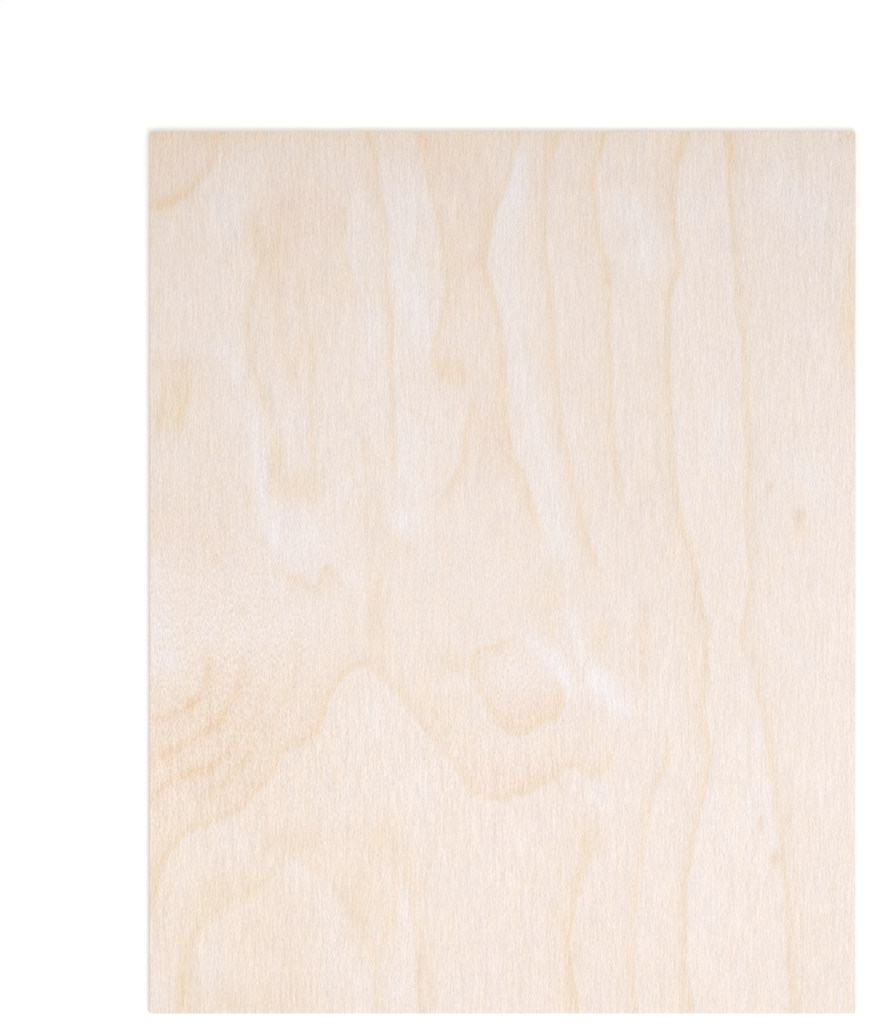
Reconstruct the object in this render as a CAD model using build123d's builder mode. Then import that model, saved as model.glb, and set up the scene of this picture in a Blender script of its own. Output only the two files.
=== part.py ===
from build123d import *
import os

# A craft plywood sheet: three plies of pale rotary-cut hardwood veneer, the middle one laid
# crosswise, bonded into one stiff panel, sanded on both faces and sawn square on all four sides.
# Millimetres. The origin is under the middle of the sheet, with +Z up through its thickness,
# +Y along the grain of the two faces and +X across it. The sheet lies flat.

# The panel as the saw leaves it
sheet_length = 254.0  # along the face grain, a nominal 10 in
sheet_width = 203.2  # across the face grain, a nominal 8 in

# The three plies, whose thicknesses add up to a nominal 3 mm
back_ply = 0.7  # bottom veneer after sanding, its grain along Y
core_ply = 1.6  # crossband between the two, its grain along X
face_ply = 0.7  # top veneer after sanding, its grain along Y

# The sawn edges. Veneer shrinks across its grain and hardly at all along it, so on every side
# the plies that show end grain stand proud of the plies that show long grain.
shrinkage = 0.06  # how far a long-grain ply edge lies behind the end-grain ply beside it
corner_wear = 0.35  # radius that handling gives the four upright corners
sanded_arris = 0.2  # radius that sanding leaves where the faces meet the edges

# Outline of a ply, X by Y, when its grain runs along the sheet and when it runs across it
lengthwise_ply = (sheet_width - 2 * shrinkage, sheet_length)
crosswise_ply = (sheet_width, sheet_length - 2 * shrinkage)

# Each ply as its thickness and its outline, in the order the panel is laid up from the bottom
lay_up = (
    (back_ply, lengthwise_ply),
    (core_ply, crosswise_ply),
    (face_ply, lengthwise_ply),
)


with BuildPart() as plywood_sheet:
    # The glue makes the plies one piece, so each is extruded straight onto the one below it
    # and the lay-up shows only as steps round the edges
    level = 0.0
    for thickness, (width, length) in lay_up:
        with BuildSketch(Plane.XY.offset(level)):
            RectangleRounded(width, length, corner_wear)
        extrude(amount=thickness)
        level += thickness

    # Sanding the two faces takes the sharpness off the edges round them
    faces_by_height = plywood_sheet.faces().sort_by(Axis.Z)
    back_rim = faces_by_height[0].edges()
    front_rim = faces_by_height[-1].edges()
    fillet(back_rim + front_rim, radius=sanded_arris)

plywood_sheet.part.label = "plywood_sheet"


os.makedirs("parts", exist_ok=True)
export_step(plywood_sheet.part, "parts/plywood_sheet.step")
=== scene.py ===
import math

import bmesh
import bpy
import numpy as np
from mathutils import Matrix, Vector


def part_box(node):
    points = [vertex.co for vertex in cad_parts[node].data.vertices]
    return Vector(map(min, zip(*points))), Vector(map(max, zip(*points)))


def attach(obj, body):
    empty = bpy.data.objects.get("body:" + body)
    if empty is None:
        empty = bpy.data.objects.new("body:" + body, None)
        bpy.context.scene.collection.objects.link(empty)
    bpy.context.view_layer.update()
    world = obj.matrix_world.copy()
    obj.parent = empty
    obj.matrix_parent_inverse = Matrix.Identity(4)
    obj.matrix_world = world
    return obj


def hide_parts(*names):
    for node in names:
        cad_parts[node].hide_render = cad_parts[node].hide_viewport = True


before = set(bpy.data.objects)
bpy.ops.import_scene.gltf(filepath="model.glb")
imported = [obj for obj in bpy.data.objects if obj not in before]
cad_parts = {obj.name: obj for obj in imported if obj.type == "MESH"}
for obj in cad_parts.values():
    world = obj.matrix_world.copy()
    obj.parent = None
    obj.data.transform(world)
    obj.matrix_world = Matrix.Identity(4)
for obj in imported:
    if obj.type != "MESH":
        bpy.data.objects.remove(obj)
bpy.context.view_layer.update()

# The sheet
# A craft plywood sheet of three rotary-cut hardwood veneers. They are glued under heat with the
# middle one crosswise, sanded on both faces and sawn square, so the whole sheet is one mesh.

mm = 0.001
sheet_low, sheet_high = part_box("plywood_sheet")
sheet_width = sheet_high.x - sheet_low.x
sheet_length = sheet_high.y - sheet_low.y
sheet_thickness = sheet_high.z - sheet_low.z

# The lay-up, as it is in the CAD node: a face ply, the crossband and a face ply
outer_ply = 0.7 * mm
shrinkage = 0.06 * mm  # how far a long-grain ply edge lies behind the end-grain ply beside it
corner_wear = 0.35 * mm
sanded_arris = 0.2 * mm
arris_steps = 3
corner_steps = 4

# The faces are a grid, so that the figure of the veneer can be painted on its points. It is finer
# across the grain, where the figure changes fastest.
cells_across = 254
cells_along = 164


def select_where(mesh, mode, wanted):
    """Selects the points, or the faces by their middles, where the test says so, and nothing else."""
    bpy.ops.mesh.select_mode(type=mode)
    bpy.ops.mesh.select_all(action="DESELECT")
    edited = bmesh.from_edit_mesh(mesh)
    if mode == "VERT":
        parts = [(point, point.co) for point in edited.verts]
    else:
        parts = [(face, face.calc_center_median()) for face in edited.faces]
    for part, place in parts:
        if wanted(place):
            part.select = True
    edited.select_flush_mode()
    bmesh.update_edit_mesh(mesh)


# Outline of a ply, X by Y, when its grain runs along the sheet and when it runs across it
lengthwise_ply = (sheet_width - 2 * shrinkage, sheet_length)
crosswise_ply = (sheet_width, sheet_length - 2 * shrinkage)
sanded_face = (lengthwise_ply[0] - 2 * sanded_arris, lengthwise_ply[1] - 2 * sanded_arris)

# The sawn edge from the back face up to the front face, as outlines at their heights
edge_rows = []
for step in range(1, arris_steps + 1):
    turn = math.radians(90 * step / arris_steps)
    outset = 2 * sanded_arris * math.sin(turn)
    height = sanded_arris * (1 - math.cos(turn))
    edge_rows.append((height, sanded_face[0] + outset, sanded_face[1] + outset))
edge_rows.append((outer_ply, *lengthwise_ply))
edge_rows.append((outer_ply, *crosswise_ply))
for height, width, length in reversed(edge_rows.copy()):
    edge_rows.append((sheet_thickness - height, width, length))
edge_rows.append((sheet_thickness, *sanded_face))

# The back face comes first, with its corners rounded, and then its copy for the front
bpy.ops.object.select_all(action="DESELECT")
bpy.ops.mesh.primitive_grid_add(
    x_subdivisions=cells_across, y_subdivisions=cells_along, size=1, calc_uvs=False
)
sheet = bpy.context.object
sheet.name = "veneered_sheet"
sheet.data.name = "veneered_sheet"
bpy.ops.object.mode_set(mode="EDIT")
bpy.ops.mesh.select_all(action="SELECT")
bpy.ops.transform.resize(value=(*sanded_face, 1))
corner_reach = sheet_length / 2 + sheet_width / 2 - 1 * mm  # X and Y add up to more only at a corner
select_where(sheet.data, "VERT", lambda place: abs(place.x) + abs(place.y) > corner_reach)
bpy.ops.mesh.bevel(offset=corner_wear, segments=corner_steps, affect="VERTICES")
bpy.ops.mesh.select_all(action="SELECT")
bpy.ops.mesh.duplicate()
bpy.ops.transform.translate(value=(0, 0, sheet_thickness))

# The rim of the back face is drawn out row by row to the front face, and welded to it
weld_gap = 0.005 * mm
sharp_edge = math.radians(40)
select_where(sheet.data, "FACE", lambda middle: middle.z < sheet_thickness / 2)
bpy.ops.mesh.region_to_loop()
last_height, last_width, last_length = (0, *sanded_face)
for height, width, length in edge_rows:
    bpy.ops.mesh.extrude_edges_move()
    bpy.ops.transform.translate(value=(0, 0, height - last_height))
    bpy.ops.transform.resize(
        value=(width / last_width, length / last_length, 1), center_override=(0, 0, 0)
    )
    last_height, last_width, last_length = height, width, length
bpy.ops.mesh.select_all(action="SELECT")
bpy.ops.mesh.remove_doubles(threshold=weld_gap)
bpy.ops.mesh.normals_make_consistent(inside=False)
bpy.ops.object.mode_set(mode="OBJECT")
bpy.ops.object.shade_smooth_by_angle(angle=sharp_edge)

# The figure of the veneer
# The veneer was peeled off a turning log, so the knife ran in and out of its growth rings, and they
# show as long soft lines with cathedrals and eyes between them. Each line is the late wood of one
# ring: it follows given points in millimetres from the sheet's middle, and fades over a few
# millimetres to its left or right, as seen looking along it.

front_rings = (
    # strength, warmth from honey (0) to amber (1), fade to the left, fade to the right, points
    (0.40, 0.6, 0, 3, ((-81.5, 127), (-82.5, 123), (-84, 118), (-87, 113), (-91, 109), (-93, 107.5),
                       (-97, 106), (-101.6, 104.5))),
    (0.30, 0.2, 5, 0, ((-97, 61), (-98, 50), (-100, 40))),
    (0.30, 0.2, 0, 5, ((-88, 62), (-90, 55), (-92.5, 45), (-93, 40))),
    (0.32, 0.3, 4, 1, ((-73, 105), (-69.5, 90), (-71.5, 84), (-73.2, 75), (-72.9, 68), (-71.8, 60),
                       (-70.2, 54), (-68.6, 49.5), (-67, 45), (-66, 41))),
    (0.32, 0.1, 3, 0, ((-65.8, 45), (-66.4, 38), (-66.8, 33), (-66.4, 28), (-66, 20))),
    (0.22, 0.2, 1, 2, ((-54, 16), (-54, 30), (-54.5, 40), (-55, 50), (-55, 60), (-54.5, 74))),
    (0.22, 0.6, 3, 3, ((-63.5, 100), (-65, 92), (-66, 86), (-64.5, 78), (-63.5, 70), (-63, 63),
                       (-61.5, 57), (-60.8, 53))),
    (0.20, 0.5, 2, 2, ((-58.5, 59), (-57.5, 68), (-57, 80), (-58, 92))),
    (0.22, 0.4, 0, 4, ((-45.5, 110), (-45.5, 100), (-46, 94), (-44.5, 88), (-42.5, 80), (-42, 72))),
    (0.20, 0.3, 0, 2, ((-44, 114), (-41, 117), (-38.5, 112))),
    (0.32, 0.5, 0, 4, ((-38, 127), (-36.5, 117.5), (-35.5, 110), (-34, 102), (-33.5, 93.5), (-33, 84),
                       (-32, 74.5), (-31.8, 65), (-32, 56), (-31.5, 47.5), (-31.3, 41), (-31, 33),
                       (-32, 25))),
    (0.36, 0.4, 5, 0, ((-24, 127), (-22.5, 119), (-21, 112), (-19, 105), (-17.5, 97), (-16, 88),
                       (-16, 80), (-17.5, 73), (-19.5, 66), (-19.5, 60), (-16, 56), (-11, 53))),
    (0.34, 0.4, 5, 0, ((-7, 52), (-9.5, 45), (-11, 37.5), (-12, 31), (-15, 25), (-18, 20.5),
                       (-20, 17))),
    (0.44, 0.4, 0, 5, ((5, 127), (3.3, 120), (1, 112), (-1.5, 106), (-3.3, 102), (-4, 97), (-5, 92),
                       (-5, 88), (-3, 80), (-1, 74), (0, 68), (0.5, 60), (0.5, 52), (1, 45),
                       (1.2, 41.5), (3.3, 33), (5.7, 28), (8, 21), (10, 13.5), (11.5, 8))),
    (0.36, 0.4, 0, 4, ((16.3, 127), (14.4, 121), (13.4, 116.5), (12.4, 110), (12.3, 98), (12.4, 90.5),
                       (13.4, 86), (14.2, 79), (14.8, 71.5), (14.5, 65), (15.3, 60), (15.8, 53),
                       (16.3, 47.5), (16.7, 41), (18.7, 34.5), (20, 26), (22, 19), (24.4, 9.5),
                       (26.3, 5), (26.6, -4))),
    (0.40, 0.3, 0, 4, ((29.7, 127), (28.2, 121), (26.8, 116.5), (26.3, 111.5), (26.6, 106), (27.3, 99),
                       (29.2, 92.5), (30.6, 87), (30.9, 79), (30.6, 70.5), (30.8, 62), (31.3, 54.5),
                       (31.8, 46.5), (32, 41), (32, 36.5), (33.3, 30), (34.2, 24), (35, 17))),
    (0.42, 0.4, 0, 5, ((53, 127), (51.7, 122.5), (50, 116.5), (49.3, 108), (49.6, 100), (50.7, 92.5),
                       (51.2, 88), (50.2, 85), (48.3, 80), (47.8, 73.5), (47.8, 65), (48.3, 55),
                       (48.3, 45.5), (48.8, 35.5), (49.3, 28), (50.2, 22), (52, 13.5), (54.5, 6.7),
                       (55.5, 0), (57, -8.7), (58.4, -14.4), (58.9, -21), (58.9, -27), (58.4, -34.6),
                       (57.5, -40), (58.4, -45.3), (59.8, -52), (58.9, -57.8), (57.4, -65.5),
                       (55.3, -75), (54, -82.7), (52.6, -91.4), (52.9, -99), (52.6, -106.8),
                       (52.3, -113.5), (53.1, -120), (54.5, -127))),
    (0.34, 0.4, 4, 0, ((64, 127), (65.3, 121.5), (65.3, 115.5), (65.8, 108), (66.2, 98), (66.8, 90.6),
                       (67.1, 85), (67.8, 77), (69, 69.5), (69.6, 62), (69.4, 53), (70.3, 45.5),
                       (70.6, 35.5), (70.3, 26), (70.6, 16), (70.8, 6.7), (71.3, 0), (70.8, -8.7),
                       (68.9, -16.4), (69.4, -21), (72.2, -27), (73.2, -33.7), (75, -39.5),
                       (75.6, -45.3), (76.6, -52), (77.3, -58.7), (79, -67.4), (79.9, -76),
                       (80.4, -81.8), (81.8, -90.4), (81.8, -97), (82.3, -104.8), (82.3, -112.5),
                       (83.7, -121), (84.7, -127))),
    (0.30, 0.4, 1, 1, ((40.5, -9), (40.7, -21), (41.1, -28), (41.6, -31))),
    (0.30, 0.4, 0, 3, ((46.5, -44), (47.6, -49), (47.6, -53), (46.4, -57.8), (44, -60.6), (42.6, -67.4),
                       (41.1, -74), (40, -81.8), (39, -88.5), (38.2, -96), (37.8, -103), (37.2, -110.6),
                       (37.8, -120), (38.8, -127))),
    (0.36, 0.2, 0, 4, ((22.5, -71), (24.9, -80), (24.4, -82.7), (22, -89.5), (20.6, -97),
                       (18.7, -106.8), (19.6, -115.4), (20.6, -121), (21.5, -127))),
    (0.42, 0.25, 5, 0, ((-101.6, -97), (-100.2, -91.4), (-98.3, -84.7), (-95.4, -79.9), (-91, -75),
                        (-85.3, -72.7), (-80, -70.3), (-74.8, -67.4), (-70, -62), (-66.2, -58.3),
                        (-63.3, -52), (-59.5, -49), (-54.7, -47.7), (-52, -42.5), (-50.5, -37),
                        (-48, -31.8), (-45.1, -28.9), (-41.3, -26.5), (-37.5, -27.4), (-33.6, -30.8),
                        (-30.7, -33.7), (-27, -38.5), (-23, -44), (-19.7, -47.7), (-16.4, -52),
                        (-12.5, -56.8), (-9.2, -62), (-4.9, -64.5), (-0.1, -65.4), (3.8, -63.5),
                        (8.6, -62.6), (12.4, -60.2), (16.3, -57.3), (19.6, -55.4), (22, -56.3),
                        (24.9, -58.3), (28.2, -57.8), (30.1, -55.9), (31.6, -52))),
    (0.40, 0.3, 3, 0, ((6.7, -20.2), (2.9, -18.8), (-2, -21.2), (-5.8, -22), (-7.8, -23.6), (-8.7, -27),
                       (-8.2, -30.8), (-6.8, -33.7), (-4.9, -36.6), (-3, -40.4), (0, -44), (3.3, -46.2),
                       (6.7, -45.8), (10.5, -43.8), (14.4, -41.9), (16.5, -39.5), (16.7, -35.6),
                       (16, -32), (12, -28))),
    (0.40, 0.9, 1, 2, ((-101.6, -42.5), (-96.8, -41.4), (-92, -39.5), (-88.7, -37), (-86.3, -34),
                       (-85.2, -29), (-85, -20))),
    (0.46, 0.6, 1, 2, ((-101.6, -55), (-99.7, -54), (-95.9, -51.8), (-92, -49.4), (-87.3, -47),
                       (-83.8, -44.4), (-80.4, -41.3), (-78.4, -38.2), (-76.4, -34.5), (-75, -30.5),
                       (-74.6, -22))),
    (0.42, 0.7, 1, 2, ((-101.6, -65.4), (-99.7, -64), (-96.6, -60.6), (-92, -58.2), (-87.3, -56.8),
                       (-83.6, -55.8), (-81, -53.6), (-78.6, -51), (-76.5, -46))),
    (0.20, 0.4, 1, 1, ((-80, -52.5), (-76.5, -47), (-72.5, -43), (-70, -38), (-68, -34), (-66, -29),
                       (-65.2, -20))),
    (0.34, 0.4, 1, 2, ((-92, -65.7), (-87.4, -64.8), (-83.6, -63.8), (-80.8, -61), (-78.4, -58.3),
                       (-75, -55), (-70, -49))),
    (0.28, 0.4, 1, 1, ((-70.5, -50), (-66, -42.5), (-64, -38.5), (-62, -34.5), (-60, -30.5),
                       (-58.4, -26), (-57.4, -18))),
    (0.30, 0.15, 4, 1, ((-92.8, -127), (-91.8, -118), (-90.8, -111), (-88.8, -105), (-85.8, -100.4),
                        (-81.4, -96.8), (-77.6, -94.4), (-74.2, -92.8), (-68.8, -89.4), (-66, -86.2),
                        (-64, -83.6), (-61.6, -82), (-59.4, -82))),
    (0.24, 0.2, 6, 0, ((-61.6, -82), (-59.4, -82), (-55.6, -84.6), (-50.6, -88.4), (-47, -93),
                       (-43.8, -98.3), (-41.4, -103), (-39, -107.4), (-37.2, -112), (-36.4, -119),
                       (-36, -127))),
    (0.20, 0.3, 1, 2, ((-29.6, -84), (-30.6, -92), (-31.6, -99), (-34, -106), (-35.4, -112))),
    (0.28, 0.3, 4, 0, ((-28.4, -78), (-27.2, -87), (-26.2, -95), (-25, -103), (-24.4, -110),
                       (-23.9, -118), (-23.6, -127))),
    (0.26, 0.2, 2, 0, ((-41, 45), (-40, 35), (-39, 25))),
    (0.24, 0.2, 0, 3, ((-33, 15), (-33, 12), (-29, 8), (-25, 6), (-25, 0))),
    (0.18, 0.4, 3, 3, ((-35, 4), (-35.5, -8), (-35, -16), (-33.5, -30))),
    (0.34, 0.5, 0, 3, ((-66.2, 2.9), (-63.3, 0.5), (-60.4, -1.4), (-56.6, -2.9), (-54.7, -5.3),
                       (-52.8, -2.9), (-51.8, 0.5), (-49.9, 1.9), (-48, -1), (-45.1, -4.8),
                       (-44.2, -5.8))),
    (0.20, 0.3, 1, 1, ((-73.5, 27), (-73.2, 22), (-73, 18))),
    (0.12, 0.5, 4, 3, ((-74, -88), (-68, -81), (-62, -75), (-57, -77), (-53, -84))),
    (0.18, 0.5, 1, 1, ((-84.5, -43), (-84, -36), (-83.3, -30), (-83.6, -23))),
    (0.18, 0.5, 2, 2, ((-91, 61), (-87, 62), (-82, 60))),
)

# Soft patches: x, y, reach across, reach along, amount
front_patches = {
    "honey": (
        (-98, 106, 4, 3, 0.30), (-92, 54, 6, 8, 0.16), (-98.5, 43, 2.2, 4, 0.32),
        (-92.8, 43, 2, 4, 0.32), (-64.4, 33, 1.6, 5, 0.34), (-61, 25.5, 5, 3.5, 0.26),
        (-55, 24, 2.5, 5, 0.18), (-60, 57.5, 1.6, 4, 0.32), (-58.5, -49.2, 3, 1.3, 0.24),
        (-14, 57, 6, 5, 0.20), (30.7, 85, 2, 5, 0.22), (23.3, 14, 2.2, 6, 0.14),
        (28.5, -18, 2.3, 4.5, 0.28), (25, -77, 4.5, 7, 0.26), (30.5, -54, 2, 3, 0.20),
        (41.2, -28, 1.5, 4, 0.16), (83.5, -121, 2, 8, 0.20), (54, -124, 2, 5, 0.20),
        (-14, -26, 6, 3.5, 0.28), (6, -43, 8, 3, 0.14), (-98, -51, 4, 3, 0.25),
        (-100, -90, 2, 12, 0.14), (-73, -124.5, 20, 5, 0.20), (-90.6, -116, 2.6, 14, 0.26),
        (-82, -94, 6, 3, 0.14), (-30, -84, 3, 7, 0.18), (-41, -94, 6.5, 12, 0.20),
        (-35, -77, 6, 7, 0.20), (-40, -112, 3, 5, 0.16), (-60, -118, 6, 8, 0.10),
        (-21.5, -118, 3, 13, 0.14), (14.7, -3, 3, 10, 0.20), (9, -10, 2, 3, 0.10),
        (14, -16, 2, 3, 0.12), (-37, 16, 4.5, 10, 0.20), (100.3, 71, 2.2, 10, 0.28),
        (100.8, 87, 1.6, 9, 0.22), (98, -75, 3, 5, 0.12), (-100, 15, 3, 6, 0.16),
        (-12, 122, 9, 5, 0.14), (-100.5, 99, 2, 6, 0.16), (66, 122, 3, 7, 0.14), (52, 122, 3, 6, 0.16),
        (-9, 92, 8, 14, 0.08), (-60, -77.5, 11, 4, 0.18), (-77, -89.5, 8, 3.5, 0.16),
        (-70, -103, 9, 10, 0.08), (-15, -40, 8, 7, 0.08), (19, -112, 5, 18, 0.10),
        (69, 94, 2.5, 3, 0.14), (66, 112, 1.6, 14, 0.12), (-36.5, -11, 3.5, 12, 0.16),
        (-50, 85, 5, 14, 0.11), (-66, 96, 7, 9, 0.14), (-73, 93, 2, 7, 0.14), (-85, 130, 25, 9, 0.10),
        (-105, 115, 35, 15, 0.12), (-100, 35, 20, 30, 0.06), (-60, 130, 90, 8, 0.15),
        (30, 132, 90, 9, 0.12), (35, -118, 8, 12, 0.05), (-78, -42, 24, 22, 0.08),
    ),
    "cream": (
        (-105, -75, 42, 60, 0.38), (-60, -100, 45, 30, 0.10), (-75, -40, 20, 15, 0.08),
        (104, 5, 16, 80, 0.30), (-92, -2, 14, 26, 0.16), (100.5, 72, 2.5, 13, 0.80),
        (85.8, 13.5, 2, 4, 0.50), (0, 82, 150, 20, 0.10), (-103, 0, 6, 130, 0.12),
        (103, 0, 6, 130, 0.12),
    ),
    "amber": (
        (-92, 108.5, 3, 2, 0.26), (-100, 125.5, 2.5, 2, 0.26), (-38, 125, 2, 4, 0.18),
        (-23.5, 123, 2.4, 5, 0.20), (-6.8, 89, 1.8, 4, 0.12), (-14, 58, 5, 4, 0.12),
        (-67, 91, 4, 4, 0.10), (-90, -37.5, 3, 2.5, 0.20), (-84, -43.5, 3, 3, 0.16),
        (-89, -57.2, 5, 2.5, 0.18), (100, 126, 2, 2, 0.22), (97.5, 74, 1.5, 8, 0.09),
        (66, 125, 2.5, 4, 0.14), (74.2, -72.5, 1, 2, 0.20), (77, 24, 1.2, 2, 0.16),
        (8, -38, 9, 4, 0.05), (-85.5, 9, 1.6, 1.6, 0.20), (-82.5, 4, 1.6, 2.2, 0.20),
        (-80.5, 14, 1.4, 2.6, 0.20), (-73.5, 19, 1.4, 3, 0.16), (-69, 9, 1.3, 1.5, 0.20),
        (-76, -10, 2, 1.6, 0.12), (20, -110, 1.5, 14, 0.12), (3, -60, 9, 4, 0.03),
        (-82, -45, 18, 16, 0.08), (41, -10, 1.8, 1.4, 0.20), (90, -10, 1.6, 1.6, 0.10),
        (-80, 127, 30, 6, 0.08), (-93, 60, 6, 1.6, 0.18), (-62, 103, 9, 10, 0.07),
        (100, 76, 2, 14, 0.05), (85.5, 16.3, 1.5, 0.8, 0.30),
    ),
    "rosy": (
        (-60, 104, 11, 12, 0.60), (-62, 80, 8, 16, 0.20), (-50, 95, 4, 20, 0.20),
        (-9, 105, 7, 20, 0.30), (-4, 40, 6, 12, 0.45), (8, -39, 9, 6, 0.35), (40, 20, 8, 20, 0.10),
        (22, 90, 6, 30, 0.20), (-20, 120, 20, 8, 0.20), (-90, 90, 12, 16, 0.15), (3, -59, 10, 5, 0.38),
        (15, -75, 25, 55, 0.20), (-80, -50, 22, 18, 0.25), (46, 112, 3, 8, 0.30),
        (-80, -64, 14, 8, 0.20), (-80, 128, 40, 7, 0.25), (-97, 118, 9, 8, 0.50),
        (10, 115, 4, 14, 0.30), (21, 128, 8, 8, 0.30), (-55, -40, 5, 8, 0.25), (-88, 12, 14, 13, 0.40),
        (-78, 30, 10, 10, 0.10), (15, 34, 26, 42, 0.06), (18, -118, 25, 20, 0.15),
        (-42, -95, 6, 14, 0.22), (-35, -77, 6, 7, 0.20), (-73, -123, 20, 6, 0.25),
        (-62, -103, 7, 12, 0.30), (-60, 25, 7, 5, 0.30), (-60, -76, 10, 4, 0.20),
        (0, 114, 150, 6, 0.11),
    ),
    "grey": (
        (28, 10, 34, 50, 0.16), (-15, -5, 10, 20, 0.10), (-75, -93, 20, 16, 0.06),
        (-30, -122, 30, 10, 0.10),
    ),
    "pale": (
        (-80, 103, 5, 8, 0.40), (-75, 112, 5, 6, 0.20), (-80, 64, 3.5, 4, 0.35), (-77, 58, 3, 4, 0.35),
        (-57, 10, 10, 7, 0.42), (-47, 23, 4, 5, 0.25), (-43.5, -2, 3, 4, 0.35), (-64.5, -4, 3, 3, 0.35),
        (-55, -11, 6, 3, 0.25), (-41, 95, 3, 14, 0.30), (-37, 70, 3, 7, 0.45), (-28, 103, 5, 14, 0.38),
        (-25, 77, 4, 12, 0.55), (-30, 88, 2.5, 6, 0.25), (4, 112, 4, 12, 0.34), (36, 104, 5, 5, 0.45),
        (41, 92, 5, 8, 0.50), (57, 107, 5, 12, 0.25), (84, 108, 12, 9, 0.30), (92, 103, 3, 3, 0.30),
        (-28, 15, 4, 4.5, 0.60), (-26, 32, 4, 10, 0.35), (-97, -25, 5, 4, 0.62), (-98, -17, 4, 3, 0.45),
        (-86, -17, 3, 3, 0.32), (-75, -17, 3, 3, 0.32), (-64, -16, 3, 3, 0.30), (27, -31, 4.5, 5, 0.38),
        (33, -40, 3, 5, 0.25), (14, -26, 4, 6, 0.28), (16, 10, 4, 9, 0.25), (-38, -43, 5, 6, 0.30),
        (-25, -63, 7, 6, 0.20), (-75, -78, 8, 4, 0.25), (-92, -88, 4, 6, 0.20), (28, -65, 5, 5, 0.35),
        (5, -78, 6, 8, 0.14), (-41, -117, 3, 8, 0.25), (-29, -97, 3, 12, 0.25), (-30, -120, 4, 6, 0.30),
        (70, -70, 10, 22, 0.12), (-84, -113, 4, 8, 0.24), (-49, -105, 3, 14, 0.20),
        (-60, -86, 4, 4, 0.15), (12, -100, 20, 30, 0.08), (62, 40, 3, 12, 0.30), (88, 30, 5, 6, 0.25),
        (-80, -5, 22, 40, 0.08), (48, -35, 5, 12, 0.20), (-99, -8, 5, 10, 0.25),
        (-100, -123, 5, 6, 0.35), (112, -10, 38, 90, 0.20), (50, -90, 22, 40, 0.14),
        (55, 60, 30, 40, 0.08), (-61, 42, 3, 8, 0.25), (-35, 55, 5, 16, 0.22), (12, 32, 6, 14, 0.18),
        (-30, 45, 30, 40, 0.07), (104, 5, 16, 80, 0.11), (-92, -2, 14, 26, 0.04),
        (0, 82, 150, 20, 0.05), (-99, 2, 4, 5, 0.20), (2, -30, 4, 6, 0.35), (18, -27, 3, 6, 0.25),
        (30, -35, 3, 6, 0.30),
    ),
}

# Pale bands: width, amount, points
pale_bands = (
    (2.5, 0.45, ((-72.5, 48), (-71, 35), (-69, 22), (-66, 10))),
    (4, 0.32, ((5, 120), (1, 95), (3, 70), (6, 55), (9, 38), (14, 22), (16, 5))),
    (2.5, 0.35, ((8, -19), (13, -24), (17, -30), (20, -34))),
    (2.5, 0.35, ((20, -12), (23, -24), (28, -31), (36, -40))),
)


def smooth_route(points):
    """A smooth line through the given points, with a point about every millimetre."""
    points = [Vector(point) for point in points]
    points = [2 * points[0] - points[1], *points, 2 * points[-1] - points[-2]]
    line = []
    for before, start, end, after in zip(points, points[1:], points[2:], points[3:]):
        steps = max(1, round((end - start).length))
        for step in range(steps):
            t = step / steps
            line.append(
                start
                + 0.5 * t * (end - before)
                + t**2 * (before - 2.5 * start + 2 * end - 0.5 * after)
                + t**3 * (1.5 * start - 1.5 * end + 0.5 * after - 0.5 * before)
            )
    line.append(points[-2])
    return np.array(line)


def beside_route(points, reach, places):
    """For the places within reach of a route: which they are, how far off, to its left or not, and
    how far along it from its nearer open end."""
    line = smooth_route(points)
    low = line.min(axis=0) - reach
    high = line.max(axis=0) + reach
    near = np.flatnonzero(((places > low) & (places < high)).all(axis=1))
    start = line[:-1]
    run = line[1:] - start
    run_length = np.hypot(run[:, 0], run[:, 1])
    from_start = places[near][:, None] - start
    share = np.clip((from_start * run).sum(axis=2) / run_length**2, 0, 1)
    off = from_start - share[:, :, None] * run
    gap = np.hypot(off[:, :, 0], off[:, :, 1])
    closest = gap.argmin(axis=1)
    rows = np.arange(len(near))
    side = run[closest, 0] * off[rows, closest, 1] - run[closest, 1] * off[rows, closest, 0]
    travelled = np.concatenate(([0], run_length.cumsum()))
    along = travelled[closest] + share[rows, closest] * run_length[closest]
    to_end = travelled[-1] - along
    near_rim = np.array((sheet_width, sheet_length)) / 2 / mm - 1
    for distance, end in ((along, line[0]), (to_end, line[-1])):
        if (abs(end) > near_rim).any():
            distance += np.inf  # a line that runs off the sheet doesn't fade there
    return near, gap[rows, closest], side > 0, np.minimum(along, to_end)


def patch_share(places, spots):
    """How much of the soft patches lies at each place."""
    share = np.zeros(len(places))
    for x, y, across, along, amount in spots:
        off = ((places[:, 0] - x) / across) ** 2 + ((places[:, 1] - y) / along) ** 2
        share += amount * np.exp(-off)
    return share


# Late wood is honey or, where it is dense, amber, and early wood is pale. Over wider areas the wood
# turns cream, rosy or grey.
figure_tones = ("honey", "amber", "cream", "rosy", "grey", "pale")

# How a ring is drawn, in millimetres: the dark core of its line, how soft its crisp side is, the
# pale early wood off that side, and how far from an open end the line and the pale wood thin out
core_width = 1.2
crisp_side = 0.5
pale_gap = 1.6
line_thins = 7
pale_thins = 8
pale_strength = 0.35  # of the early wood, as a share of the line's
fades_drawn = 3  # past so many fades or widths nothing of a line is left to see


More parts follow.
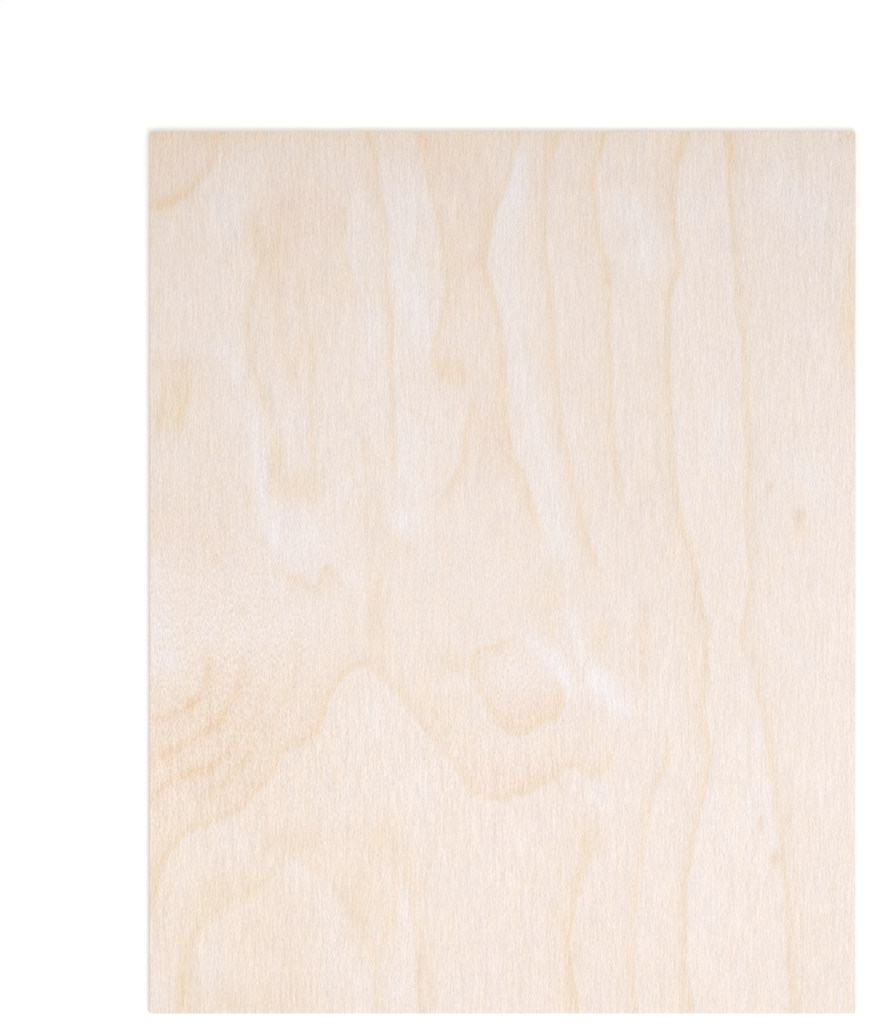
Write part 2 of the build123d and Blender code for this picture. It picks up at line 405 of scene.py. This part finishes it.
def paint_figure(places, rings, patches, bands):
    """The share of wood of each tone at each place."""
    shares = {tone: np.zeros(len(places)) for tone in figure_tones}
    for strength, warmth, left_fade, right_fade, points in rings:
        reach = fades_drawn * max(left_fade, right_fade, 1)
        near, gap, left, to_end = beside_route(points, reach, places)
        fade = np.where(left, left_fade, right_fade)
        soft_tail = np.exp(-gap / np.maximum(fade, 0.1))  # not used on a side whose fade is 0
        crisp_tail = np.exp(-((gap / crisp_side) ** 2))
        core = np.exp(-((gap / core_width) ** 2))
        amount = strength * (0.5 * core + 0.5 * np.where(fade > 0, soft_tail, crisp_tail))
        amount *= np.clip(to_end / line_thins, 0, 1)
        shares["honey"][near] += amount * (1 - warmth)
        shares["amber"][near] += amount * warmth
        bright = pale_strength * strength * np.exp(-(((gap - pale_gap) / core_width) ** 2))
        shares["pale"][near] += bright * (fade == 0) * np.clip(to_end / pale_thins, 0, 1)
    for tone, spots in patches.items():
        shares[tone] += patch_share(places, spots)
    for width, amount, points in bands:
        near, gap, left, to_end = beside_route(points, fades_drawn * width, places)
        shares["pale"][near] += amount * np.exp(-((gap / width) ** 2))
    return shares


# The back veneer comes from the same log and has a quieter figure
back_rings = (
    (0.34, 0.4, 0, 5, ((-84, 127), (-82, 90), (-85, 50), (-83, 10), (-86, -40), (-84, -90),
                       (-88, -127))),
    (0.30, 0.3, 0, 4, ((-58, 127), (-56, 80), (-60, 30), (-57, -20), (-61, -80), (-60, -127))),
    (0.38, 0.5, 5, 0, ((-38, -127), (-36, -80), (-31, -30), (-24, 10), (-15, 34), (-8, 41), (0, 38),
                       (7, 25), (13, 0), (18, -40), (20, -90), (22, -127))),
    (0.28, 0.4, 4, 0, ((-24, -127), (-22, -90), (-17, -50), (-10, -20), (-5, -10), (1, -14), (5, -30),
                       (8, -70), (9, -127))),
    (0.32, 0.4, 4, 0, ((-44, 127), (-38, 100), (-26, 76), (-12, 65), (2, 64), (15, 76), (24, 100),
                       (29, 127))),
    (0.34, 0.3, 5, 0, ((39, 127), (37, 85), (33, 50), (34, 5), (38, -50), (37, -90), (40, -127))),
    (0.30, 0.5, 0, 4, ((60, 127), (62, 70), (58, 20), (60, -35), (64, -80), (63, -127))),
    (0.36, 0.4, 4, 0, ((86, 127), (84, 80), (87, 30), (90, -20), (88, -75), (91, -127))),
)
back_patches = {
    "honey": (
        (-95, 90, 20, 40, 0.14), (70, -100, 30, 30, 0.10), (-8, 55, 10, 8, 0.10), (-70, -60, 8, 40, 0.08),
    ),
    "amber": ((-8, 44, 6, 4, 0.10), (62, 71, 2, 8, 0.12), (-85, 48, 2, 6, 0.12)),
    "rosy": ((0, 90, 18, 18, 0.30), (-45, 0, 8, 50, 0.20), (75, 40, 6, 50, 0.20)),
    "pale": (
        (-70, 60, 6, 30, 0.30), (-6, -70, 10, 30, 0.20), (48, 10, 6, 50, 0.30), (-48, 90, 5, 20, 0.25),
    ),
}
back_bands = ((4, 0.25, ((27, -120), (25, -60), (20, -10), (14, 30), (4, 50))),)


def read_mesh(parts, name, size, kind):
    """One property of all points, faces or corners of a mesh, as an array with a row for each."""
    values = np.empty(len(parts) * size, dtype=kind)
    parts.foreach_get(name, values)
    return values.reshape(-1, size).squeeze()


points = read_mesh(sheet.data.vertices, "co", 3, float)
places = points[:, :2] / mm
on_front = points[:, 2] > sheet_thickness / 2
figure = {tone: np.zeros(len(points)) for tone in figure_tones}
for painted, rings, patches, bands in (
    (on_front, front_rings, front_patches, pale_bands),
    (~on_front, back_rings, back_patches, back_bands),
):
    for tone, share in paint_figure(places[painted], rings, patches, bands).items():
        figure[tone][painted] = share

# Pin knots, and what the knife does to the grain, as patches too. Where the grain dives into the
# sheet the knife cuts its fibres short, and beside that they tear a little and stand out more.
# Where the grain runs level they lie smoother, with an amount below zero.
grain_patches = {
    "knot": (
        (85.6, 14, 1.9, 4.0, 0.18), (85.4, 16.4, 1.6, 0.9, 0.26), (78.5, -82.3, 1.3, 1.7, 0.44),
        (77, 24, 0.8, 1.2, 0.20), (74.2, -72.5, 0.7, 1.6, 0.20),
    ),
    "short_grain": ((-82, -20, 34, 40, 0.8), (5, -33, 14, 14, 0.65), (-8, 2, 30, 20, 0.4)),
    "torn_grain": (
        (-84, -55, 26, 24, 0.62), (-40, -52, 26, 24, 0.20), (5, -54, 22, 12, 0.30), (5, -33, 14, 12, 0.24),
        (-85, -10, 32, 45, 0.24), (-65, -112, 45, 22, 0.08), (20, 80, 45, 50, -0.18),
        (92, -30, 24, 55, -0.10), (-90, 92, 30, 40, -0.12), (-8, 2, 30, 20, -0.06),
    ),
}
for name, spots in grain_patches.items():
    figure[name] = np.zeros(len(points))
    figure[name][on_front] = patch_share(places[on_front], spots)
for name, share in figure.items():
    attribute = sheet.data.attributes.new(name + "_share", "FLOAT", "POINT")
    attribute.data.foreach_set("value", share.astype(np.float32))

# Sanded veneer
# Pale rotary-cut hardwood, bare. Sanding leaves it matt and smooth, with a fine nap along the
# fibres, so the eye sees close short streaks over the soft honey-coloured lines of the rings.


def srgb(code):
    """A colour written as an sRGB hex value, turned linear."""
    values = [int(code[i : i + 2], 16) / 255 for i in (1, 3, 5)]
    return (*(v / 12.92 if v <= 0.04045 else ((v + 0.055) / 1.055) ** 2.4 for v in values), 1)


def add_node(tree, kind, output, settings):
    """Adds a node. Settings in small letters are its own, and the rest fill its inputs or are linked."""
    node = tree.nodes.new("ShaderNode" + kind)
    for name, value in settings.items():
        if str(name).islower():
            setattr(node, name, value)
        elif isinstance(value, bpy.types.NodeSocket):
            tree.links.new(value, node.inputs[name])
        else:
            node.inputs[name].default_value = value
    return node.outputs[output] if node.outputs else None


def cells(across, along, through):
    """The scale of a pattern on Object coordinates whose cells have these sizes in millimetres."""
    return (1 / (across * mm), 1 / (along * mm), 1 / (through * mm))


def bare_material(name):
    """A new material with no nodes in it yet."""
    material = bpy.data.materials.new(name)
    material.use_nodes = True
    material.node_tree.nodes.clear()
    return material


veneer = bare_material("sanded_rotary_cut_veneer")
tree = veneer.node_tree
place = add_node(tree, "TexCoord", "Object", {})

# Long fibres start and end anywhere, so each bundle has its pattern slid along by a few millimetres
longest_slide = 5 * mm
bundles = add_node(tree, "Mapping", "Vector", {"Vector": place, "Scale": cells(2.5, 400, 3)})
slide = add_node(tree, "TexNoise", "Fac", {"Vector": bundles, "Scale": 1.0, "Detail": 1.0})
slide = add_node(tree, "Math", 0, {"operation": "MULTIPLY", 0: slide, 1: longest_slide})
slide = add_node(tree, "CombineXYZ", "Vector", {"Y": slide})
slid_place = add_node(tree, "VectorMath", "Vector", {"operation": "ADD", 0: place, 1: slide})

# The patterns of the veneer. Single fibres are 0.03 mm across and don't show, so they are drawn as
# bundles of about 0.3 mm. Each pattern is shifted, so that no two of them line up.
fibre_bundle = 0.29
veneer_patterns = (
    # name, cells across, along and through in millimetres, octaves above the first, slid, shaded
    ("nap", (fibre_bundle, 0.9, 0.3), 2.0, False, True),
    ("fibres", (0.31, 2.6, 0.3), 2.0, True, True),
    ("vessels", (0.34, 9.0, 0.3), 1.0, True, False),
    ("cut_vessels", (0.34, 1.4, 0.3), 2.0, True, False),
    ("wide_streaks", (1.3, 18.0, 0.5), 1.0, True, False),
    ("clouds", (3.5, 7.0, 0.5), 2.0, False, False),
    ("feather", (0.8, 9.0, 0.5), 2.0, True, False),
    ("drift", (3.0, 8.0, 0.5), 1.0, False, False),
)
noise = {}
for count, (name, size, octaves, slid, shaded) in enumerate(veneer_patterns):
    shift = Vector((7.3 * count, 3.1 * count, 5.7 * count))
    copies = {name: shift}
    if shaded:
        # A bundle that stands up leaves a faint shade beside it, so its pattern comes again there,
        # and counts as dark below
        copies[name + "_shade"] = shift + Vector((2 * fibre_bundle / size[0], 0, 0))
    for copy, location in copies.items():
        spot = add_node(tree, "Mapping", "Vector", {"Vector": slid_place if slid else place,
                                                    "Location": location, "Scale": cells(*size)})
        noise[copy] = add_node(tree, "TexNoise", "Fac", {"Vector": spot, "Scale": 1.0, "Detail": octaves})

# Where the grain dives into the sheet, the long fibres are cut short
dives = add_node(tree, "Attribute", "Fac", {"attribute_name": "short_grain_share"})
for name in ("fibres", "vessels"):
    noise[name] = add_node(tree, "MixRGB", "Color", {"Fac": dives, "Color1": noise[name],
                                                    "Color2": noise["cut_vessels"]})

# The streaks that the patterns add up to, light and dark about the middle, and stronger where the
# grain is torn
streaks = 0.0
for name, strength in (
    ("nap", 0.9),
    ("nap_shade", -0.22),
    ("fibres", 0.7),
    ("fibres_shade", -0.18),
    ("vessels", 0.55),
    ("wide_streaks", 0.08),
):
    streak = add_node(tree, "Math", 0, {"operation": "MULTIPLY_ADD", 0: noise[name], 1: strength,
                                        2: -strength / 2})
    streaks = add_node(tree, "Math", 0, {"operation": "ADD", 0: streaks, 1: streak})
torn = add_node(tree, "Attribute", "Fac", {"attribute_name": "torn_grain_share"})
contrast = add_node(tree, "Math", 0, {"operation": "ADD", 0: torn, 1: 1.0})
streaks = add_node(tree, "Math", 0, {"operation": "MULTIPLY_ADD", 0: streaks, 1: contrast, 2: 0.5})

# Faint clouds in the wood between the rings
spread = {}
for name in ("clouds", "drift", "feather"):
    spread[name] = add_node(tree, "MapRange", "Result", {"Value": noise[name], "From Min": 0.3,
                                                         "From Max": 0.7})
colour = add_node(tree, "MixRGB", "Color", {"Fac": spread["clouds"], "Color1": srgb("#F2E3D6"),
                                            "Color2": srgb("#F0E4DE")})

# The figure, broken up along the fibres. Each tone drifts between a more olive and a more orange one.
feathered = add_node(tree, "Math", 0, {"operation": "MULTIPLY_ADD", 0: spread["feather"], 1: 0.9, 2: 0.55})
for tone, olive, orange in (
    ("cream", "#F9E7D1", "#F9E6D5"),
    ("rosy", "#EED9CC", "#EFDACD"),
    ("grey", "#E3D8D0", "#E4D9D2"),
    ("pale", "#F3ECF2", "#F2EFF0"),
    ("honey", "#E6D5A6", "#EED0AA"),
    ("amber", "#E9C79A", "#EDC29C"),
    ("knot", "#DEBC7E", "#DDB57F"),
):
    wood = add_node(tree, "MixRGB", "Color", {"Fac": spread["drift"], "Color1": srgb(olive),
                                              "Color2": srgb(orange)})
    share = add_node(tree, "Attribute", "Fac", {"attribute_name": tone + "_share"})
    amount = add_node(tree, "Math", 0, {"operation": "MULTIPLY", 0: share, 1: feathered, "use_clamp": True})
    colour = add_node(tree, "MixRGB", "Color", {"Fac": amount, "Color1": colour, "Color2": wood})

# A thin rim round each face, where the sander has rubbed the arris smooth, painted paler: a painted
# highlight along the edge of the face
rim = 0.6 * mm
offsets = add_node(tree, "VectorMath", "Vector", {"operation": "ABSOLUTE", 0: place})
offsets = add_node(tree, "VectorMath", "Vector", {"operation": "SUBTRACT", 1: offsets,
                                                  0: (sheet_width / 2, sheet_length / 2, 0)})
offsets = add_node(tree, "SeparateXYZ", 0, {"Vector": offsets}).node
nearest = add_node(tree, "Math", 0, {"operation": "MINIMUM", 0: offsets.outputs["X"],
                                     1: offsets.outputs["Y"]})
painted_rim_highlight = add_node(tree, "MapRange", "Result", {"Value": nearest, "From Min": rim, "From Max": sanded_arris,
                                             "To Max": 0.30})
colour = add_node(tree, "MixRGB", "Color", {"Fac": painted_rim_highlight, "Color1": colour, "Color2": srgb("#F8F0E8")})

# The streaks darken and lighten the wood alike, and the dark ones are a little warmer
fibre_tone = add_node(tree, "MixRGB", "Color", {"Fac": streaks, "Color1": (0.79, 0.78, 0.76, 1),
                                                "Color2": (1.21, 1.22, 1.24, 1)})
colour = add_node(tree, "MixRGB", "Color", {"blend_type": "MULTIPLY", "Fac": 1.0, "Color1": colour,
                                            "Color2": fibre_tone})
relief = add_node(tree, "Bump", "Normal", {"Height": streaks, "Strength": 0.25, "Distance": 0.05 * mm})
shader = add_node(tree, "BsdfPrincipled", "BSDF",
                  {"Base Color": colour, "Roughness": 0.68, "Specular IOR Level": 0.3, "Normal": relief})
add_node(tree, "OutputMaterial", 0, {"Surface": shader})
sheet.data.materials.append(veneer)

# The sawn edges
# A fine saw cuts all three plies at once and leaves its marks across them. Where it cuts through the
# fibres it leaves open end grain, a shade darker, and where it runs along them, long grain. The
# glue shows as a thin amber line between the plies.
core_ply = sheet_thickness - 2 * outer_ply
glue_core = 0.02 * mm  # from the middle of a glue line to where it starts to fade
glue_edge = 0.07 * mm  # from there to where nothing of it is left


def sawn_ply(name, fibre_cells, end_axis):
    """A ply as the saw leaves it, from the cells of its fibres and the axis that they run along."""
    material = bare_material(name)
    tree = material.node_tree
    place = add_node(tree, "TexCoord", "Object", {})
    facing = add_node(tree, "NewGeometry", "Normal", {})
    facing = add_node(tree, "SeparateXYZ", end_axis, {"Vector": facing})
    facing = add_node(tree, "Math", 0, {"operation": "ABSOLUTE", 0: facing})
    end_grain = add_node(tree, "MapRange", "Result", {"Value": facing, "From Min": 0.4, "From Max": 0.9})

    # Bundles of fibres, and the growth rings, which lie nearly flat in a peeled veneer
    spot = add_node(tree, "Mapping", "Vector", {"Vector": place, "Scale": fibre_cells})
    fibres = add_node(tree, "TexNoise", "Fac", {"Vector": spot, "Scale": 1.0, "Detail": 2.0})
    fibres = add_node(tree, "MapRange", "Result", {"Value": fibres, "From Min": 0.3, "From Max": 0.7})
    spot = add_node(tree, "Mapping", "Vector", {"Vector": place, "Scale": cells(16, 16, 0.4)})
    rings = add_node(tree, "TexNoise", "Fac", {"Vector": spot, "Scale": 1.0, "Detail": 1.0})
    rings = add_node(tree, "MapRange", "Result", {"Value": rings, "From Min": 0.35, "From Max": 0.65})

    # The lathe strains the veneer as it peels, so fine cracks lean through it about every millimetre.
    # They show here and there in the end grain.
    lean = add_node(tree, "VectorMath", "Value", {"operation": "DOT_PRODUCT", 0: place,
                                                  1: (1 / mm, 1 / mm, 0.6 / mm)})
    lean = add_node(tree, "Math", 0, {"operation": "MULTIPLY_ADD", 0: rings, 1: 0.25, 2: lean})
    checks = add_node(tree, "TexVoronoi", "Distance", {"voronoi_dimensions": "1D", "W": lean, "Scale": 0.8,
                                                       "feature": "DISTANCE_TO_EDGE"})
    checks = add_node(tree, "MapRange", "Result", {"Value": checks, "From Min": 0.03, "From Max": 0.01,
                                                   "To Max": 0.45})
    checks = add_node(tree, "Math", 0, {"operation": "MULTIPLY", 0: checks, 1: end_grain})
    checks = add_node(tree, "Math", 0, {"operation": "MULTIPLY", 0: checks, 1: fibres})

    # Saw marks, 0.5 mm apart and nearly upright
    stroke = add_node(tree, "VectorMath", "Value", {"operation": "DOT_PRODUCT", 0: place,
                                                    1: (2 / mm, 2 / mm, 0.3 / mm)})
    saw_marks = add_node(tree, "TexNoise", "Fac", {"noise_dimensions": "1D", "W": stroke, "Scale": 1.0,
                                                   "Detail": 1.0})

    long_wood = add_node(tree, "MixRGB", "Color", {"Fac": fibres, "Color1": srgb("#E4CFB4"),
                                                   "Color2": srgb("#F0E1CC")})
    end_wood = add_node(tree, "MixRGB", "Color", {"Fac": fibres, "Color1": srgb("#C9AE89"),
                                                  "Color2": srgb("#E0CAAC")})
    colour = add_node(tree, "MixRGB", "Color", {"Fac": end_grain, "Color1": long_wood, "Color2": end_wood})
    ring_tone = add_node(tree, "MixRGB", "Color", {"Fac": rings, "Color1": srgb("#F2E9DC"),
                                                   "Color2": srgb("#FFFFFF")})
    colour = add_node(tree, "MixRGB", "Color", {"blend_type": "MULTIPLY", "Fac": 1.0, "Color1": colour,
                                                "Color2": ring_tone})
    saw_tone = add_node(tree, "MixRGB", "Color", {"Fac": saw_marks, "Color1": (0.90, 0.89, 0.88, 1),
                                                  "Color2": (1.10, 1.11, 1.12, 1)})
    colour = add_node(tree, "MixRGB", "Color", {"blend_type": "MULTIPLY", "Fac": 1.0, "Color1": colour,
                                                "Color2": saw_tone})
    colour = add_node(tree, "MixRGB", "Color", {"Fac": checks, "Color1": colour, "Color2": srgb("#8F6F4C")})

    # The glue lines, at the same height above and below the middle of the sheet
    height = add_node(tree, "SeparateXYZ", "Z", {"Vector": place})
    height = add_node(tree, "Math", 0, {"operation": "SUBTRACT", 0: height, 1: sheet_thickness / 2})
    height = add_node(tree, "Math", 0, {"operation": "ABSOLUTE", 0: height})
    height = add_node(tree, "Math", 0, {"operation": "SUBTRACT", 0: height, 1: core_ply / 2})
    height = add_node(tree, "Math", 0, {"operation": "ABSOLUTE", 0: height})
    glue = add_node(tree, "MapRange", "Result", {"Value": height, "From Min": glue_edge,
                                                 "From Max": glue_core, "To Max": 0.6})
    colour = add_node(tree, "MixRGB", "Color", {"Fac": glue, "Color1": colour, "Color2": srgb("#A9834F")})

    grooves = add_node(tree, "Math", 0, {"operation": "ADD", 0: fibres, 1: saw_marks})
    grooves = add_node(tree, "Math", 0, {"operation": "SUBTRACT", 0: grooves, 1: checks})
    relief = add_node(tree, "Bump", "Normal", {"Height": grooves, "Strength": 0.4, "Distance": 0.06 * mm})
    shader = add_node(tree, "BsdfPrincipled", "BSDF",
                      {"Base Color": colour, "Roughness": 0.8, "Specular IOR Level": 0.2, "Normal": relief})
    add_node(tree, "OutputMaterial", 0, {"Surface": shader})
    return material


# Fibre bundles on a sawn edge are drawn 0.15 mm across, the finest that a close view shows. The
# sander has bared the plies' ends on the steep part of the arris, so that is sawn wood too. Each
# material starts a little above the back face and ends as far below the front face.
sawn_bundle = 0.15
fibre_run = 10
sheet.data.materials.append(sawn_ply("sawn_lengthwise_ply", cells(sawn_bundle, fibre_run, 0.10), "Y"))
sheet.data.materials.append(sawn_ply("sawn_crossband", cells(fibre_run, sawn_bundle, 0.10), "X"))
bpy.ops.object.mode_set(mode="EDIT")
for slot_number, low in ((1, 0.5 * sanded_arris), (2, outer_ply - shrinkage / 2)):
    select_where(sheet.data, "FACE", lambda middle: low < middle.z < sheet_thickness - low)
    sheet.active_material_index = slot_number
    bpy.ops.object.material_slot_assign()
bpy.ops.object.mode_set(mode="OBJECT")

# The layout of the sheet on one flat square: the front face above, the back
# face below it, and the four sawn sides as strips along the bottom. Sizes are shares of the square.
margin = 0.0035
strip_height = 0.0147
strip_step = 0.0186
back_low = 0.082
front_low = 0.405
half_size = np.array((sheet_width / 2, sheet_length / 2))

# Each corner of a face, with its own place and with the middle of its face
corner_counts = read_mesh(sheet.data.polygons, "loop_total", 1, np.int32)
middle = read_mesh(sheet.data.polygons, "center", 3, float).repeat(corner_counts, axis=0)
point = points[read_mesh(sheet.data.loops, "vertex_index", 1, np.int32)]

across = margin + (1 - 2 * margin) * (point[:, 0] / sheet_width + 0.5)
along = point[:, 1] / sheet_length + 0.5
upward = np.where(
    middle[:, 2] > sheet_thickness / 2,
    front_low + (1 - margin - front_low) * along,
    back_low + (front_low - margin - back_low) * along,
)

# The sides. They take in the points on the rim of each arris, whose way in adds to their height.
on_side = (middle[:, 2] > sanded_arris) & (middle[:, 2] < sheet_thickness - sanded_arris)
depth = (half_size - abs(point[:, :2])).min(axis=1)
climb = point[:, 2] + np.where(point[:, 2] > sheet_thickness / 2, depth, -depth)
to_edge = half_size - abs(middle[:, :2])
for strip, (axis, sign) in enumerate(((0, -1), (0, 1), (1, -1), (1, 1))):
    run = 1 - axis
    here = on_side & (to_edge[:, axis] < to_edge[:, run]) & (sign * middle[:, axis] > 0)
    run_share = (point[here, run] + half_size[run]) / sheet_length
    across[here] = margin + (1 - 2 * margin) * run_share
    upward[here] = margin + strip * strip_step + strip_height * climb[here] / sheet_thickness
layout = sheet.data.uv_layers.new(name="OFBake")
layout.data.foreach_set("uv", np.column_stack((across, upward)).ravel().astype(np.float32))

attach(sheet, "root")
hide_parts("plywood_sheet")

# The floor
# A plain white table top under the sheet. It reads as pure white and keeps the sheet's shadow.

floor_size = 3
floor_gap = 0.02 * mm  # keeps the table top and the back face from lying in one plane
floor_glow = 0.18  # what the table top lacks to pure white, and only the eye gets


def seen_straight(tree):
    """1 for what the eye sees straight, in gloss or through glass, and 0 for light on other things."""
    rays = add_node(tree, "LightPath", 0, {}).node.outputs
    seen = add_node(tree, "Math", 0, {"operation": "MAXIMUM", 0: rays["Is Camera Ray"],
                                      1: rays["Is Glossy Ray"]})
    return add_node(tree, "Math", 0, {"operation": "MAXIMUM", 0: seen, 1: rays["Is Transmission Ray"]})


bpy.ops.object.select_all(action="DESELECT")
bpy.ops.mesh.primitive_plane_add(size=floor_size, location=(0, 0, -floor_gap))
floor = bpy.context.object
floor.name = "white_table_top"
floor_paint = bare_material("matt_white_table_top")
tree = floor_paint.node_tree
diffuse = add_node(tree, "BsdfDiffuse", "BSDF", {"Color": srgb("#FDFDFD")})
strength = add_node(tree, "Math", 0, {"operation": "MULTIPLY", 0: seen_straight(tree), 1: floor_glow})
glow = add_node(tree, "Emission", "Emission", {"Color": (1, 1, 1, 1), "Strength": strength})
both = add_node(tree, "AddShader", "Shader", {0: diffuse, 1: glow})
add_node(tree, "OutputMaterial", 0, {"Surface": both})
floor.data.materials.append(floor_paint)

# The light
# Plain studio light: a white room, and one large soft lamp over the lower right corner, which
# leaves a thin soft shadow along the left and the top edge.

fill_light = 0.73  # share of the full light that comes from the room
key_light = 0.27  # share that comes from the lamp, at the middle of the sheet
lamp_place = Vector((0.17, -0.20, 0.72))
lamp_aim = Vector((0, -0.06, 0))
lamp_width = 0.30
lamp_spread = 60  # degrees: past it the light falls off, so the far corner is a little darker
lamp_yield = 1.2065  # light at the middle of the sheet for each watt of this lamp

world = bpy.data.worlds.new("soft_white_room")
bpy.context.scene.world = world
world.use_nodes = True
tree = world.node_tree
tree.nodes.clear()
strength = add_node(tree, "MapRange", "Result", {"Value": seen_straight(tree), "To Min": fill_light,
                                                 "To Max": 1.0})
background = add_node(tree, "Background", "Background", {"Color": (1, 1, 1, 1), "Strength": strength})
add_node(tree, "OutputWorld", 0, {"Surface": background})

bpy.ops.object.light_add(type="AREA", location=lamp_place)
lamp = bpy.context.object
lamp.name = "softbox"
lamp.data.shape = "DISK"
lamp.data.size = lamp_width
lamp.data.spread = math.radians(lamp_spread)
lamp.data.energy = key_light / lamp_yield
lamp.rotation_euler = (lamp_place - lamp_aim).to_track_quat("Z", "Y").to_euler()

# The camera
# It looks straight down on the sheet from afar, so the sheet's edges stay parallel.

frame_height = 294.8 * mm  # what the view takes in at the height of the front face
lens = 300
sensor = 36
view_middle = (-17.7 * mm, 17.4 * mm)  # the sheet lies low and to the right in the view
camera_height = sheet_thickness + frame_height * lens / sensor
bpy.ops.object.camera_add(location=(*view_middle, camera_height), rotation=(0, 0, 0))
camera = bpy.context.object
camera.name = "overhead_camera"
camera.data.lens = lens
camera.data.sensor_width = sensor
camera.data.clip_end = 20
bpy.context.scene.camera = camera
bpy.context.scene.view_settings.view_transform = "Standard"
